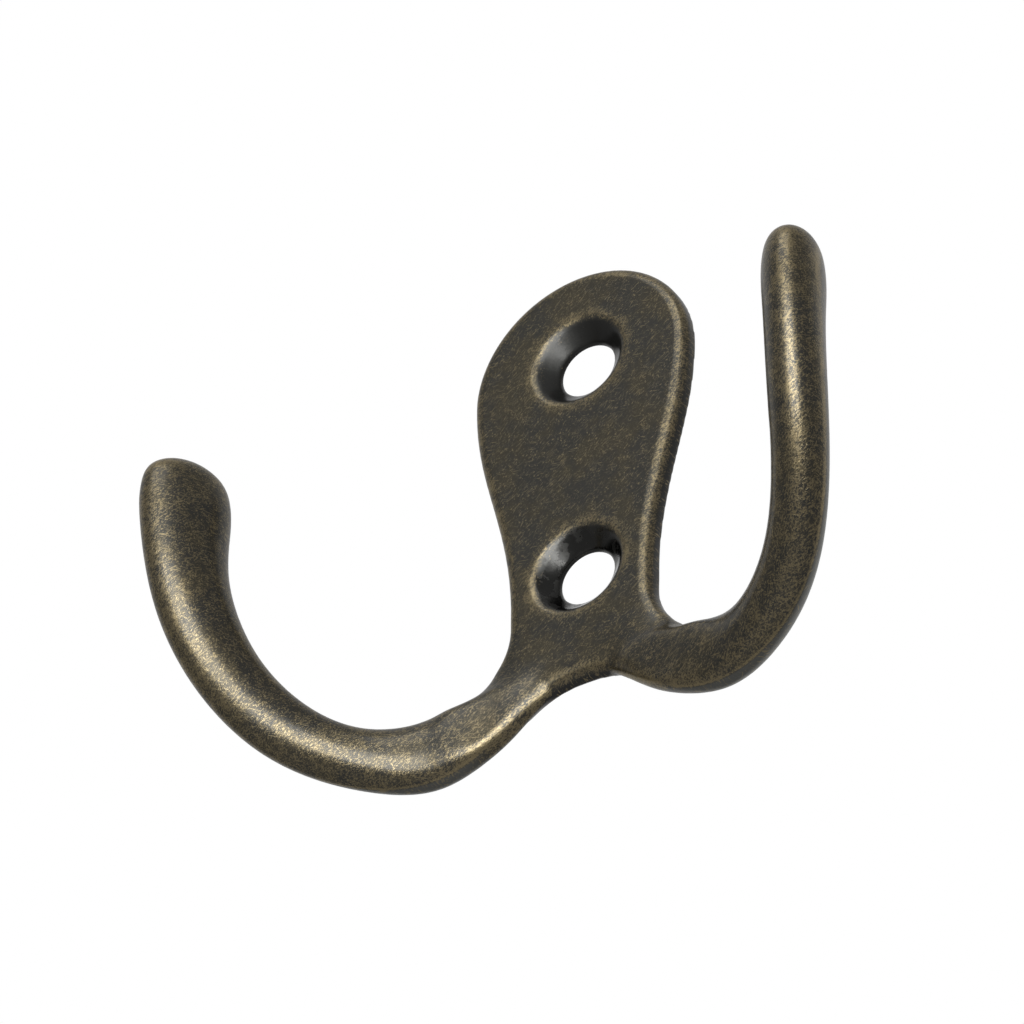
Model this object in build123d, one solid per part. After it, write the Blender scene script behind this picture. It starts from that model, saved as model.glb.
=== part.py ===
from build123d import *
from math import atan2, cos, degrees, radians, sin, sqrt
import os

# Double coat hook, one zinc casting. Sizes are in millimetres.
# The origin is midway between the two screw holes on the wall face, +Z is up, the front faces -Y.

# Plate
PLATE_T = 1.8
HEAD_R = 9.46            # round head
HEAD_Z = 8.98
SHOULDER_X = 7.88        # half width where the side turns from bulging to hollow
SHOULDER_Z = -1.0
WAIST_X = 6.25           # half width at the waist
WAIST_Z = -11.95
EDGE_R = 0.9             # rounded front edge
BACK_R = 0.25            # broken back edge

# Countersunk screw holes
HOLE_PITCH = 20.0
HOLE_R = 2.4
SINK_R = 3.9
SINK_LAND = 0.4          # straight wall left behind the countersink
SINK_LIP_R = 0.45

# Crotch between plate and arm, and arch between the two arms
CROTCH_R = 5.65
CROTCH_Z = -13.39        # height of the crotch's centre
CROTCH_SWEEP = 61.7      # degrees, from the plate's side to where it meets the arm
ARCH_R = 8.6
ARCH_TOP_Z = -19.9
FOOT_X = 5.0             # half width of the arch where it meets the arm

# Arm seen from above: straight along the plate, then bent forward on one radius
BEND_START = 6.3
BEND_R = 21.7

# Arm unrolled along that bend: a J, whose bowl is part of a circle, with an upright tip
BOWL_RUN = 14.98
BOWL_Z = -5.26
BOWL_R = 17.85
BOWL_START = -9.1        # degrees from the bowl's lowest point, where the root ends
BOWL_STEPS = 5
ROOT_X = 2.2             # the arm's first section, hidden in the plate
ROOT_Z = -18.27
ROOT_SLOPE = -24.9       # degrees
ROOT_STEPS = 5
ROOT_EASE = 1.2          # how slowly the arm swells out of the plate
TIP_Z = -1.46            # height where the rounded end begins
TIP_LEN = 2.71
TIP_STEPS = (25.0, 50.0, 70.0, 82.0)

# Arm sections: half the height across the arm, and half the depth through it
ROOT_HALF = 1.54
FLARE_HALF = 2.95
BOWL_HALF = 2.44
TIP_HALF = 3.89
ROOT_DEPTH = 0.7
FLARE_DEPTH = 1.93
BOWL_DEPTH = 2.11
TIP_DEPTH = 2.31
FLARE_REACH = 0.75       # share of the root that the plate reaches along
WALL_GAP = 0.06          # kept between the wall and the arm's back


def mix(start, end, share):
    return start + (end - start) * share


def bent(run, height, forward):
    """Give a point on the unrolled bend, so far in front of the plate's middle."""
    turn = max(run - BEND_START, 0.0) / BEND_R
    radius = BEND_R - forward
    return Vector(
        min(run, BEND_START) + radius * sin(turn),
        -PLATE_T / 2 - BEND_R + radius * cos(turn),
        height,
    )


def station(half, depth, run, height, lean, forward=0.0):
    """Stand an oval across the arm, whose lean goes from lying (0) to upright (90)."""
    turn = max(run - BEND_START, 0.0) / BEND_R
    heading = Vector(cos(turn), -sin(turn), 0)
    up = Vector(0, 0, 1)
    plane = Plane(
        bent(run, height, forward),
        x_dir=heading * cos(radians(lean)) + up * sin(radians(lean)),
        z_dir=heading * sin(radians(lean)) - up * cos(radians(lean)),
    )
    return plane * Ellipse(half, depth)


def on_bowl(angle):
    return (BOWL_RUN + BOWL_R * sin(radians(angle)), BOWL_Z - BOWL_R * cos(radians(angle)))


# Centre line of the root, unrolled: from inside the plate into the bowl
root_line = Spline(
    (ROOT_X, ROOT_Z),
    on_bowl(BOWL_START),
    tangents=(
        (cos(radians(ROOT_SLOPE)), sin(radians(ROOT_SLOPE))),
        (cos(radians(BOWL_START)), sin(radians(BOWL_START))),
    ),
)

# Plate, with its crotch flares and the arch, which end inside the two arms
crotch = (WAIST_X + CROTCH_R, CROTCH_Z)
crotch_end = radians(180 + CROTCH_SWEEP)
flare_top = (crotch[0] + CROTCH_R * cos(crotch_end), crotch[1] + CROTCH_R * sin(crotch_end))
flare_low = (FOOT_X, ARCH_TOP_Z - ARCH_R + sqrt(ARCH_R**2 - FOOT_X**2))
flare_tip = root_line @ FLARE_REACH
right_half = [
    CenterArc((0, HEAD_Z), HEAD_R, 0, 90),
    Spline(
        (HEAD_R, HEAD_Z),
        (SHOULDER_X, SHOULDER_Z),
        (WAIST_X, WAIST_Z),
        tangents=((0, -1), (0, -1)),
    ),
    Line((WAIST_X, WAIST_Z), (WAIST_X, CROTCH_Z)),
    CenterArc(crotch, CROTCH_R, 180, CROTCH_SWEEP),
    Polyline(flare_top, (flare_tip.X, flare_tip.Y), flare_low),
    RadiusArc(flare_low, (0, ARCH_TOP_Z), -ARCH_R),
    Line((0, ARCH_TOP_Z), (0, HEAD_Z + HEAD_R)),
]
plate = extrude(Plane.XZ * make_face(right_half), PLATE_T)
plate += mirror(plate, Plane.YZ)


def rim(y):
    """Pick the outline's edges at one depth."""
    return plate.edges().filter_by_position(Axis.Y, y - BACK_R / 2, y + BACK_R / 2)


plate = fillet(rim(-PLATE_T), EDGE_R)
plate = fillet(rim(0), BACK_R)

# Countersunk screw holes
bore = make_face(
    Polyline(
        (0, 0),
        (HOLE_R, 0),
        (HOLE_R, -SINK_LAND),
        (SINK_R, -PLATE_T),
        (0, -PLATE_T),
        close=True,
    )
)
drill = revolve(bore, Axis.Y)
for side in (1, -1):
    plate -= Pos(0, 0, side * HOLE_PITCH / 2) * drill
lips = [e for e in plate.edges().filter_by(GeomType.CIRCLE) if abs(e.radius - SINK_R) < BACK_R]
plate = fillet(lips, SINK_LIP_R)

# Right arm: out of the plate, round the bowl, and up to the rounded tip
stations = []
for step in range(ROOT_STEPS + 1):
    share = step / ROOT_STEPS
    centre = root_line @ share
    along = root_line % share
    swelling = sin(radians(90 * share)) ** ROOT_EASE
    half = mix(ROOT_HALF, FLARE_HALF, swelling)
    depth = mix(ROOT_DEPTH, FLARE_DEPTH, swelling)
    behind = bent(centre.X, centre.Y, -depth).Y
    forward = max(behind + WALL_GAP, 0.0)
    lean = 90 + degrees(atan2(along.Y, along.X))
    stations.append(station(half, depth, centre.X, centre.Y, lean, forward))
for step in range(1, BOWL_STEPS + 1):
    angle = mix(BOWL_START, 90, step / BOWL_STEPS)
    fullness = 1 - cos(radians(angle))
    half = mix(BOWL_HALF, TIP_HALF, fullness)
    depth = mix(BOWL_DEPTH, TIP_DEPTH, fullness)
    stations.append(station(half, depth, *on_bowl(angle), 90 + angle))
for angle in (0.0,) + TIP_STEPS:
    girth = cos(radians(angle))
    height = TIP_Z + TIP_LEN * sin(radians(angle))
    stations.append(station(TIP_HALF * girth, TIP_DEPTH * girth, BOWL_RUN + BOWL_R, height, 180))
arm = loft(stations)

hook = plate + arm + mirror(arm, Plane.YZ)

os.makedirs("parts", exist_ok=True)
export_step(hook, "parts/hook.step")
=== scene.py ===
import bpy
import math
import numpy as np
from mathutils import Matrix, Vector


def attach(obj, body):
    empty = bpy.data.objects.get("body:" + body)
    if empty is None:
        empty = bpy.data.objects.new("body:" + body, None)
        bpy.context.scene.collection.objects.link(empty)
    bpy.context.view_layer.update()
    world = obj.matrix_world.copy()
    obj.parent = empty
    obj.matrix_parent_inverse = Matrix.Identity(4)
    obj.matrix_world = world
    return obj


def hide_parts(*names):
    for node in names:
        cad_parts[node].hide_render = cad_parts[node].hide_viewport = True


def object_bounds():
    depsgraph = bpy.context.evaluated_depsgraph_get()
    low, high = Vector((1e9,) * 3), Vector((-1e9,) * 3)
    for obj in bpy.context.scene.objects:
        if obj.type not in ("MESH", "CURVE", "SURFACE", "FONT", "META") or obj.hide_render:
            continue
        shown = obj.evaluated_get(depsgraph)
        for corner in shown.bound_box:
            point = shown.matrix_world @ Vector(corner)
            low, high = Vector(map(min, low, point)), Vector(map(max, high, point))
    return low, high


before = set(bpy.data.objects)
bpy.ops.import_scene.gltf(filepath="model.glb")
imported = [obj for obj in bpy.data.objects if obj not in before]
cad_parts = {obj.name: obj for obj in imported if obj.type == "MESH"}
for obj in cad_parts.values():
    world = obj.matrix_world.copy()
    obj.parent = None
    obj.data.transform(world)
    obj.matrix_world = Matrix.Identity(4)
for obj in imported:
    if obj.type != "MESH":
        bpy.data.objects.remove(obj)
cad_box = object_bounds()

MILLIMETRE = 0.001          # metres

# Camera, fitted to the photograph: below the hook and to its right
CAMERA_AZIMUTH = 31.59      # degrees
CAMERA_ELEVATION = -37.79
CAMERA_ROLL = 0.459
CAMERA_AIM = (-0.00848, 0.00254, 0.00148)
CAMERA_DISTANCE = 0.82016
LENS = 376.3                # mm, on a sensor 36 mm wide
FLOOR_Z = -1.2
FLOOR_REACH = 6.0
ROOM_GREY = (0.37, 0.37, 0.37, 1)
WHITE = (1, 1, 1, 1)
BACKDROP_EDGE = (0.25, 0.75)  # where the room gives way to the backdrop, as a cosine

# Sizes of the casting that the finish follows, in millimetres, as in the solid
PLATE_T = 1.8
BEND_START = 6.3
BEND_R = 21.7
BOWL_RUN = 14.98
BOWL_Z = -5.26
BOWL_R = 17.85
HOLE_HEIGHTS = (10.0, -10.0)
HOLE_R = 2.4
SINK_R = 3.9
SINK_LAND = 0.4
RIDGE_X = 14.5              # the parting ridge: how far behind the arm's middle it runs, and where
RIDGE_BEHIND = -0.3
RIDGE_SLOPE = 0.17

# Skin of the casting
SKIN = 0.0002               # metres between its points
CORNER_X = 7.4              # the inner corners between plate and arm, and how far round them is filled
CORNER_Z = -19.4
CORNER_REACH = (4.5, 7.5)
CORNER_STEPS = 45
CORNER_PASSES = 20
CORNER_RATE = 0.8
CORNER_SMOOTHINGS = 4
BUMP_X = 9.4                # the ends of the plate's flares
BUMP_Z = -18.3
BUMP_REACH = (1.0, 2.6)
BUMP_STEPS = 55
SMOOTHING = 0.5
FLAT_START = 1.70           # in front of the middle of the sheet
FLAT_RISE = 1.0
FLAT_REACH = (5.0, 16.0)
FLAT_EDGE = 0.25
FLAT_TOP = (-15.0, -13.5)   # heights over which the flat front fades out
# Front (1) or back (-1) corner, the stretch of the arm along which it is fuller, and by how much
CORNER_PUSHES = (
    (1, (3.5, 8.0, 15.0, 27.0), 0.16),
    (-1, (4.0, 7.0, 12.0, 18.0), 0.12),
)
PUSH_TOP = (-16.0, -14.0)
PUSH_RUN = 15.0
PUSH_SPREAD = 10
LIP_REACH = 0.9             # lips of the countersinks
LIP_SOFT = 0.45
LIP_LEAST = 0.001
PROFILE_STEPS = 300
HOLE_GRIP = 0.3             # how near a point is to the hole's profile to be put on it

# Where the finish changes
EDGE_CURVE = (0.0012, 0.008)
LOWER_OUT = (0.0, 0.9)
LOWER_X = (7.0, 10.0)
WALL_Y = (-1.25, -0.75)
WALL_X = (8.5, 10.5)
WALL_FRONT = 1.0
ARM_X = (6.0, 12.0)
ARM_Z = (-17.0, -21.0)
ARM_TOP = -14.0
ARM_SIDE = 10.0


def direction(azimuth, elevation):
    """Point from the hook towards a place: azimuth 0 is straight in front, 90 on its right."""
    a, e = math.radians(azimuth), math.radians(elevation)
    return Vector((math.sin(a) * math.cos(e), -math.cos(a) * math.cos(e), math.sin(e)))


def make_camera():
    cam = bpy.data.objects.new("camera", bpy.data.cameras.new("camera"))
    bpy.context.scene.collection.objects.link(cam)
    back = direction(CAMERA_AZIMUTH, CAMERA_ELEVATION)
    turn = back.to_track_quat("Z", "Y").to_matrix() @ Matrix.Rotation(math.radians(CAMERA_ROLL), 3, "Z")
    cam.matrix_world = Matrix.Translation(Vector(CAMERA_AIM) + back * CAMERA_DISTANCE) @ turn.to_4x4()
    cam.data.lens = LENS
    cam.data.clip_start = 0.01
    cam.data.clip_end = 50
    bpy.context.scene.camera = cam


# Studio
def shows_background(tree):
    """Give 1 for the rays that see the background itself: from the camera, off metal, through glass."""
    path = tree.nodes.new("ShaderNodeLightPath")
    seen = path.outputs["Is Camera Ray"]
    for name in ("Is Glossy Ray", "Is Transmission Ray"):
        either = tree.nodes.new("ShaderNodeMath")
        either.operation = "MAXIMUM"
        tree.links.new(seen, either.inputs[0])
        tree.links.new(path.outputs[name], either.inputs[1])
        seen = either.outputs[0]
    return seen


def softbox(name, azimuth, elevation, distance, width, height, watts):
    lamp = bpy.data.lights.new(name, "AREA")
    lamp.shape = "RECTANGLE"
    lamp.size = width
    lamp.size_y = height
    lamp.energy = watts
    obj = bpy.data.objects.new(name, lamp)
    bpy.context.scene.collection.objects.link(obj)
    towards = direction(azimuth, elevation)
    obj.location = towards * distance
    obj.rotation_euler = towards.to_track_quat("Z", "Y").to_euler()
    obj.visible_camera = False


def make_studio():
    world = bpy.data.worlds.new("studio")
    bpy.context.scene.world = world
    world.use_nodes = True
    tree = world.node_tree
    room = tree.nodes["Background"]
    room.inputs["Color"].default_value = ROOM_GREY
    white = tree.nodes.new("ShaderNodeBackground")
    white.inputs["Color"].default_value = WHITE
    # The white backdrop stands behind the hook, and the darker room lies in front of it
    place = tree.nodes.new("ShaderNodeTexCoord")
    facing = tree.nodes.new("ShaderNodeVectorMath")
    facing.operation = "DOT_PRODUCT"
    facing.inputs[1].default_value = -direction(CAMERA_AZIMUTH, CAMERA_ELEVATION)
    tree.links.new(place.outputs["Generated"], facing.inputs[0])
    edge = tree.nodes.new("ShaderNodeMapRange")
    edge.interpolation_type = "SMOOTHSTEP"
    edge.inputs["From Min"].default_value = BACKDROP_EDGE[0]
    edge.inputs["From Max"].default_value = BACKDROP_EDGE[1]
    tree.links.new(facing.outputs["Value"], edge.inputs["Value"])
    amount = tree.nodes.new("ShaderNodeMath")
    amount.operation = "MULTIPLY"
    tree.links.new(edge.outputs[0], amount.inputs[0])
    tree.links.new(shows_background(tree), amount.inputs[1])
    mix = tree.nodes.new("ShaderNodeMixShader")
    tree.links.new(amount.outputs[0], mix.inputs[0])
    tree.links.new(room.outputs[0], mix.inputs[1])
    tree.links.new(white.outputs[0], mix.inputs[2])
    path = tree.nodes.new("ShaderNodeLightPath")
    sky = tree.nodes.new("ShaderNodeMixShader")
    tree.links.new(path.outputs["Is Camera Ray"], sky.inputs[0])
    tree.links.new(mix.outputs[0], sky.inputs[1])
    tree.links.new(white.outputs[0], sky.inputs[2])
    tree.links.new(sky.outputs[0], tree.nodes["World Output"].inputs["Surface"])
    softbox("main_softbox", 20, -6, 0.8, 0.65, 0.65, 9.5)
    softbox("top_softbox", 5, 50, 1.0, 0.7, 0.5, 2.5)


def make_floor():
    mesh = bpy.data.meshes.new("floor")
    signs = ((-1, -1), (1, -1), (1, 1), (-1, 1))
    corners = [(x * FLOOR_REACH, y * FLOOR_REACH, FLOOR_Z) for x, y in signs]
    mesh.from_pydata(corners, [], [(0, 1, 2, 3)])
    floor = bpy.data.objects.new("floor", mesh)
    bpy.context.scene.collection.objects.link(floor)
    paint = bpy.data.materials.new("pale_floor")
    paint.use_nodes = True
    shader = paint.node_tree.nodes["Principled BSDF"]
    shader.inputs["Base Color"].default_value = (0.8, 0.8, 0.8, 1)
    shader.inputs["Roughness"].default_value = 0.8
    mesh.materials.append(paint)


# Casting: the solid's skin in even squares, then softened where a mould leaves it soft
def make_skin(source):
    piece = bpy.data.objects.new("casting", source.data.copy())
    bpy.context.scene.collection.objects.link(piece)
    remesh = piece.modifiers.new("even_squares", "REMESH")
    remesh.mode = "VOXEL"
    remesh.voxel_size = SKIN
    evaluated = piece.evaluated_get(bpy.context.evaluated_depsgraph_get())
    mesh = bpy.data.meshes.new_from_object(evaluated)
    piece.modifiers.clear()
    piece.data = mesh
    mesh.materials.clear()
    mesh.shade_smooth()
    return piece


def smoothstep(low, high, value):
    share = np.clip((value - low) / (high - low), 0, 1)
    return share * share * (3 - 2 * share)


def neighbour_sums(one, two, values):
    """Give each point the sum of its neighbours' values, column by column."""
    return np.stack(
        [
            np.bincount(one, weights=column[two], minlength=len(values))
            + np.bincount(two, weights=column[one], minlength=len(values))
            for column in values.T
        ],
        axis=1,
    )


class Skin:
    """The casting's points and how they hang together, in millimetres."""

    def __init__(self, mesh):
        self.mesh = mesh
        count = len(mesh.vertices)
        points = np.empty(count * 3)
        mesh.vertices.foreach_get("co", points)
        self.points = points.reshape(-1, 3) / MILLIMETRE
        pairs = np.empty(len(mesh.edges) * 2, dtype=np.int64)
        mesh.edges.foreach_get("vertices", pairs)
        self.one, self.two = pairs[0::2], pairs[1::2]
        self.degree = np.bincount(pairs, minlength=count).astype(float)

    def averaged(self, values):
        """Give each point the mean of its neighbours' values."""
        total = neighbour_sums(self.one, self.two, values.reshape(len(values), -1))
        return (total / self.degree[:, None]).reshape(values.shape)

    def spread(self, values, steps):
        for _ in range(steps):
            values = (values + self.averaged(values)) / 2
        return values

    def smooth(self, share):
        self.points += (self.averaged(self.points) - self.points) * (SMOOTHING * share)[:, None]

    def normals(self):
        self.store()
        flat = np.empty(len(self.points) * 3)
        self.mesh.vertices.foreach_get("normal", flat)
        return flat.reshape(-1, 3)

    def store(self):
        self.mesh.vertices.foreach_set("co", (self.points * MILLIMETRE).ravel())
        self.mesh.update()

    def keep(self, name, values):
        attribute = self.mesh.attributes.new(name, "FLOAT", "POINT")
        attribute.data.foreach_set("value", values.astype(np.float32))


def unroll(points):
    """Give how far each point lies along the bent sheet of the arms, and how far in front of its middle."""
    x, depth = np.abs(points[:, 0]), points[:, 1] + PLATE_T / 2
    turn = np.where(x > BEND_START, np.arctan2(x - BEND_START, depth + BEND_R), 0)
    run = np.where(x > BEND_START, BEND_START + turn * BEND_R, x)
    before = np.where(x > BEND_START, BEND_R - np.hypot(x - BEND_START, depth + BEND_R), -depth)
    side = np.sign(points[:, 0])
    forward = np.stack([-np.sin(turn) * side, -np.cos(turn), np.zeros(len(points))], axis=1)
    return run, before, forward


def flatten_roots(skin):
    """Keep the arms' front nearly flat where they leave the plate."""
    run, before, forward = unroll(skin.points)
    top = FLAT_START + FLAT_RISE * smoothstep(*FLAT_REACH, run)
    held = top - FLAT_EDGE * np.log1p(np.exp((top - before) / FLAT_EDGE))
    low = 1 - smoothstep(*FLAT_TOP, skin.points[:, 2])
    skin.points += forward * ((held - before) * low * (before > PLATE_T / 2 - FLAT_EDGE))[:, None]


def push_corners(skin):
    """Make the outer corners of the arms' sections a little fuller near the roots, by the listed amounts."""
    run, _, forward = unroll(skin.points)
    side = np.sign(skin.points[:, 0])
    along = np.stack([-forward[:, 1] * side, forward[:, 0] * side, 0 * side], axis=1)
    centre = np.arctan2(run - BOWL_RUN, BOWL_Z - skin.points[:, 2])
    outward = along * np.sin(centre)[:, None] - np.array([0, 0, 1]) * np.cos(centre)[:, None]
    normals = skin.normals()
    outer = np.clip((normals * outward).sum(axis=1), 0, 1)
    low = 1 - smoothstep(*PUSH_TOP, skin.points[:, 2] - np.clip(run - PUSH_RUN, 0, None))
    move = np.zeros(len(run))
    for front, (start, full, fade, end), amount in CORNER_PUSHES:
        corner = (2 * np.clip(front * (normals * forward).sum(axis=1), 0, 1) * outer) ** 2
        window = smoothstep(start, full, run) * (1 - smoothstep(fade, end, run))
        move += corner * window * low * amount
    skin.points += normals * skin.spread(move, PUSH_SPREAD)[:, None]


def round_holes(skin):
    """Put the countersinks' points on true circles, with softer lips."""
    depths = np.array([0, -SINK_LAND, -PLATE_T, -PLATE_T])
    radii = np.array([HOLE_R, HOLE_R, SINK_R, SINK_R + LIP_REACH])
    lengths = np.concatenate([[0], np.cumsum(np.hypot(np.diff(depths), np.diff(radii)))])
    places = np.linspace(0, lengths[-1], PROFILE_STEPS)
    sharp = np.stack([np.interp(places, lengths, radii), np.interp(places, lengths, depths)], axis=1)
    reach = np.minimum(LIP_SOFT, np.minimum(places, places[-1] - places) / 2)
    soft = np.empty_like(sharp)
    for k, place in enumerate(places):
        weight = np.exp(-(((places - place) / max(reach[k], LIP_LEAST)) ** 2))
        soft[k] = (sharp * weight[:, None]).sum(axis=0) / weight.sum()
    for height in HOLE_HEIGHTS:
        x, y, z = skin.points.T
        radius = np.hypot(x, z - height)
        near = np.where(radius < SINK_R + LIP_REACH)[0]
        gaps = np.hypot(radius[near, None] - sharp[:, 0], y[near, None] - sharp[:, 1])
        nearest, gap = gaps.argmin(axis=1), gaps.min(axis=1)
        taken = gap < HOLE_GRIP
        near, nearest = near[taken], nearest[taken]
        grown = soft[nearest, 0] / radius[near]
        skin.points[near, 0] *= grown
        skin.points[near, 2] = height + (z[near] - height) * grown
        skin.points[near, 1] = soft[nearest, 1]


def fill_corners(skin):
    """Fill the corners where an arm leaves the plate, and round off the ends of the plate's flares."""
    x, z = np.abs(skin.points[:, 0]), skin.points[:, 2]
    near = 1 - smoothstep(*CORNER_REACH, np.hypot(x - CORNER_X, z - CORNER_Z))
    patch = np.where(near > 0)[0]
    place = np.full(len(near), -1)
    place[patch] = np.arange(len(patch))
    inner = (place[skin.one] >= 0) & (place[skin.two] >= 0)
    one, two = place[skin.one[inner]], place[skin.two[inner]]
    degree = np.bincount(one, minlength=len(patch)) + np.bincount(two, minlength=len(patch))
    share = near[patch]
    for _ in range(CORNER_STEPS):
        normals = skin.normals()[patch]
        points = skin.points[patch]
        for _ in range(CORNER_PASSES):
            pull = neighbour_sums(one, two, points) / degree[:, None] - points
            out = np.clip((pull * normals).sum(axis=1), 0, None) * share
            points = points + normals * (out * CORNER_RATE)[:, None]
        skin.points[patch] = points
    for _ in range(CORNER_SMOOTHINGS):
        skin.smooth(near)
    # The plate's flares end in a small step on the arms
    bump = 1 - smoothstep(*BUMP_REACH, np.hypot(x - BUMP_X, z - BUMP_Z))
    for _ in range(BUMP_STEPS):
        skin.smooth(bump)


def mark_skin(skin):
    """Keep what the finish follows: worn edges, holes, arms, and how far behind the parting ridge."""
    normals = skin.normals()
    points = skin.points
    pull = skin.averaged(points) - points
    curve = skin.spread(-(pull * normals).sum(axis=1), 3)
    skin.keep("edge", skin.spread(smoothstep(*EDGE_CURVE, curve), 5))
    x, z = np.abs(points[:, 0]), points[:, 2]
    run, before, _ = unroll(points)
    outside = np.where(z < BOWL_Z, np.hypot(run - BOWL_RUN, z - BOWL_Z), run - BOWL_RUN) - BOWL_R
    skin.keep("lower", smoothstep(*LOWER_OUT, outside) * smoothstep(*LOWER_X, x))
    skin.keep("past_ridge", -before - RIDGE_BEHIND - RIDGE_SLOPE * (x - RIDGE_X))
    wall = smoothstep(*WALL_Y, points[:, 1]) * (1 - smoothstep(*WALL_X, x))
    skin.keep("wall", wall * (before < WALL_FRONT))
    holes = np.min([np.hypot(points[:, 0], z - height) for height in HOLE_HEIGHTS], axis=0)
    skin.keep("from_hole", holes)
    skin.keep("lower_hole", z < 0)
    arm = np.maximum(smoothstep(*ARM_X, x), smoothstep(*ARM_Z, z))
    skin.keep("arm", np.where(z < ARM_TOP, arm, x > ARM_SIDE))


# Finish
class Finish:
    """A material's nodes, written as sums."""

    def __init__(self, name):
        self.material = bpy.data.materials.new(name)
        self.material.use_nodes = True
        self.tree = self.material.node_tree
        self.shader = self.tree.nodes["Principled BSDF"]

    def plug(self, value, socket):
        if isinstance(value, bpy.types.NodeSocket):
            self.tree.links.new(value, socket)
        else:
            socket.default_value = value

    def math(self, operation, *values):
        node = self.tree.nodes.new("ShaderNodeMath")
        node.operation = operation
        for value, socket in zip(values, node.inputs):
            self.plug(value, socket)
        return node.outputs[0]

    def add(self, total, *parts):
        """Add values to a total, each times its own amount."""
        for value, amount in parts:
            total = self.math("ADD", total, self.math("MULTIPLY", value, amount))
        return total

    def ramp(self, value, low, high, start=0.0, end=1.0):
        node = self.tree.nodes.new("ShaderNodeMapRange")
        node.interpolation_type = "SMOOTHSTEP"
        for name, setting in (("Value", value), ("From Min", low), ("From Max", high),
                              ("To Min", start), ("To Max", end)):
            self.plug(setting, node.inputs[name])
        return node.outputs[0]

    def noise(self, place, scale, detail=2.0, roughness=0.5):
        node = self.tree.nodes.new("ShaderNodeTexNoise")
        self.plug(place, node.inputs["Vector"])
        node.inputs["Scale"].default_value = scale
        node.inputs["Detail"].default_value = detail
        node.inputs["Roughness"].default_value = roughness
        return node.outputs["Fac"]

    def turned(self, place, angles, scale):
        """Turn and stretch a pattern, whose scale is the length of its unit along each axis."""
        node = self.tree.nodes.new("ShaderNodeMapping")
        node.vector_type = "TEXTURE"
        self.plug(place, node.inputs["Vector"])
        node.inputs["Rotation"].default_value = [math.radians(a) for a in angles]
        node.inputs["Scale"].default_value = scale
        return node.outputs[0]

    def mix(self, share, first, second):
        node = self.tree.nodes.new("ShaderNodeMix")
        node.data_type = "RGBA"
        self.plug(share, node.inputs[0])
        self.plug(first, node.inputs[6])
        self.plug(second, node.inputs[7])
        return node.outputs[2]

    def attribute(self, name):
        node = self.tree.nodes.new("ShaderNodeAttribute")
        node.attribute_name = name
        return node.outputs["Fac"]

    def bump(self, height, distance, strength, below=None):
        node = self.tree.nodes.new("ShaderNodeBump")
        node.inputs["Strength"].default_value = strength
        node.inputs["Distance"].default_value = distance
        self.plug(height, node.inputs["Height"])
        if below:
            self.plug(below, node.inputs["Normal"])
        return node.outputs[0]


DARK_PATINA = (0.050, 0.049, 0.044, 1)
BROWN_PATINA = (0.062, 0.056, 0.042, 1)
SHADED_PATINA = (0.036, 0.036, 0.034, 1)
# A light grey painted on the arms' back: a painted reflection of the white backdrop
BACKDROP_REFLECTION_GREY = (0.12, 0.12, 0.11, 1)
WORN_BRASS = (0.30, 0.24, 0.133, 1)
BRUSHED = -41                # degrees, the way most marks on the plate run
SCRATCHES = ((BRUSHED, 1.1), (-30, 1.6), (-56, 0.8), (12, 1.3))  # degrees, and length in mm
SCRATCH_SIZE = (0.9, 0.075)
STREAK_SIZE = (0.50, 0.15, 0.085)
FLECK_SIZE = (0.24, 0.15, 0.12)


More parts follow.
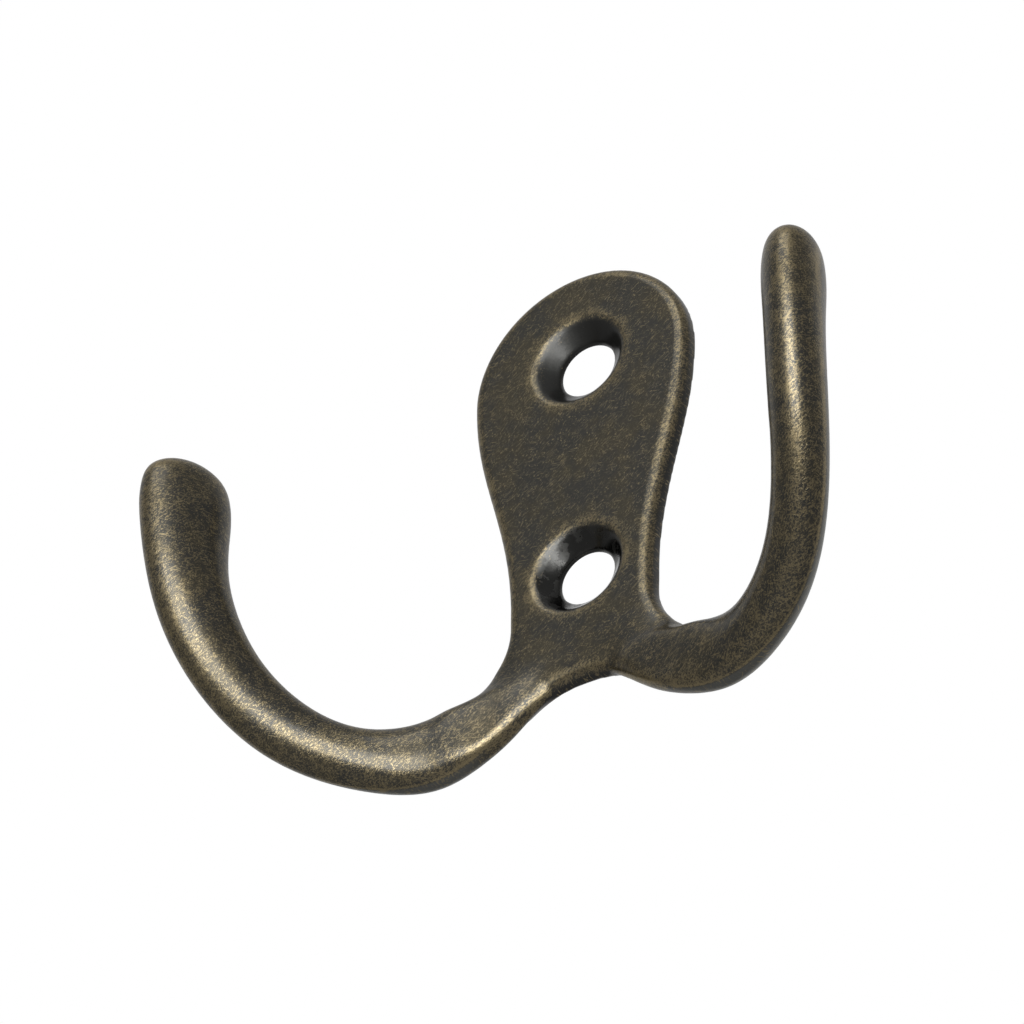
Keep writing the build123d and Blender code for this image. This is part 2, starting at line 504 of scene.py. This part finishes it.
def make_finish():
    finish = Finish("antique_brass")
    coordinates = finish.tree.nodes.new("ShaderNodeTexCoord")
    place = finish.turned(coordinates.outputs["Object"], (0, 0, 0), (MILLIMETRE,) * 3)
    grain = finish.noise(place, 11.0, 2.0, 0.6)
    fine = finish.noise(place, 14.0, 2.0, 0.6)
    streaks = finish.noise(finish.turned(place, (0, BRUSHED, 0), STREAK_SIZE), 1.0, 2.0, 0.6)
    clouds = finish.noise(place, 0.32, 4.0, 0.6)
    patches = finish.noise(place, 1.1, 3.0, 0.65)
    uneven = finish.math("SUBTRACT", patches, 0.5)
    cloudy = finish.math("SUBTRACT", clouds, 0.5)
    speckle = finish.math("MULTIPLY", finish.math("ADD", grain, streaks), 0.5)

    # Places: the arms' back with its parting ridge, the countersinks and the rims round them
    lower = finish.attribute("lower")
    wall = finish.attribute("wall")
    from_hole = finish.attribute("from_hole")
    past_ridge = finish.attribute("past_ridge")
    back = finish.math("MULTIPLY", lower, finish.ramp(past_ridge, 0.0, 0.25))
    ridge = finish.math("MULTIPLY", lower, finish.ramp(finish.math("ABSOLUTE", past_ridge), 0.20, 0.05))
    sink = finish.ramp(from_hole, SINK_R + 0.05, SINK_R - 0.25)
    rim_start = finish.ramp(from_hole, SINK_R - 0.1, SINK_R + 0.35)
    rim_end = finish.ramp(from_hole, SINK_R + 1.3, SINK_R + 0.5)
    rim = finish.math("MULTIPLY", rim_start, rim_end)
    # Where painted light goes: painted shade in the countersinks and on the plate's edge walls, and a
    # painted reflection on the arms' back. Fewer flecks show there.
    shade_and_reflection = finish.math("MAXIMUM", finish.math("MAXIMUM", back, wall), sink)
    worn = ((finish.attribute("edge"), 0.10), (finish.attribute("arm"), 0.035))

    # Scratches: long thin marks in a few directions
    scratches = 0.0
    for turn, length in SCRATCHES:
        line = finish.noise(finish.turned(place, (0, turn, 0), (length, *SCRATCH_SIZE)), 1.0, 1.0, 0.4)
        scratches = finish.math("MAXIMUM", scratches, finish.ramp(line, 0.66, 0.75))
    scratches = finish.math("MULTIPLY", scratches, finish.math("SUBTRACT", 1.0, sink))

    # Flecks: crisp golden specks, denser on the worn edges, round the holes and on the arms
    flecks = finish.noise(finish.turned(place, (0, BRUSHED, 0), FLECK_SIZE), 1.0, 2.0, 0.7)
    flecks = finish.add(flecks, *worn, (rim, 0.05), (uneven, 0.35), (shade_and_reflection, -0.15))
    flecks = finish.ramp(flecks, 0.59, 0.68)

    # Brass shows where the patina is worn through
    wear = finish.add(
        speckle, *worn, (rim, 0.085), (sink, -0.05), (wall, -0.15), (ridge, 0.14),
        (uneven, 0.22), (cloudy, 0.20), (back, -0.2),
    )
    brass = finish.math("MULTIPLY", finish.ramp(wear, 0.55, 0.77), 0.8)
    brass = finish.math("MAXIMUM", brass, finish.math("MULTIPLY", scratches, 0.6))
    brass = finish.math("MAXIMUM", brass, finish.math("MULTIPLY", flecks, 0.65))
    patina = finish.mix(finish.ramp(clouds, 0.4, 0.62), DARK_PATINA, BROWN_PATINA)
    # The countersinks and the back half of the plate's edge walls are painted darker: painted shade in the
    # hollows and under the plate's edges.
    patina = finish.mix(finish.math("MAXIMUM", sink, wall), patina, SHADED_PATINA)
    # The arms' back, behind the parting ridge, is painted a light grey: a painted reflection of the white
    # backdrop.
    patina = finish.mix(back, patina, BACKDROP_REFLECTION_GREY)
    finish.plug(finish.mix(brass, patina, WORN_BRASS), finish.shader.inputs["Base Color"])

    # Roughness, with a glossy pool of lacquer in the lower countersink
    pool = finish.math("MULTIPLY", sink, finish.attribute("lower_hole"))
    pool = finish.math("MULTIPLY", pool, finish.ramp(finish.noise(place, 0.9, 3.0, 0.6), 0.44, 0.47))
    rough = finish.add(finish.ramp(fine, 0.3, 0.7, 0.34, 0.46), (brass, -0.09), (pool, -0.26))
    finish.plug(rough, finish.shader.inputs["Roughness"])
    finish.shader.inputs["Metallic"].default_value = 1.0
    finish.shader.inputs["Specular Tint"].default_value = (0.45, 0.45, 0.45, 1)
    finish.shader.inputs["Coat Weight"].default_value = 0.35
    finish.shader.inputs["Coat Roughness"].default_value = 0.2
    finish.shader.inputs["Coat IOR"].default_value = 1.4
    normal = finish.bump(patches, 0.00004, 0.5)
    normal = finish.bump(speckle, 0.000025, 0.6, normal)
    normal = finish.bump(scratches, -0.00001, 0.4, normal)
    normal = finish.bump(flecks, -0.00001, 0.5, normal)
    finish.plug(normal, finish.shader.inputs["Normal"])
    return finish.material


make_camera()
bpy.context.scene.view_settings.view_transform = "Standard"
make_studio()
make_floor()

casting = make_skin(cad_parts["hook"])
skin = Skin(casting.data)
flatten_roots(skin)
push_corners(skin)
fill_corners(skin)
round_holes(skin)
skin.points = np.clip(skin.points, *(np.array(cad_box) / MILLIMETRE))
mark_skin(skin)
casting.data.materials.append(make_finish())
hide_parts("hook")
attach(casting, "root")
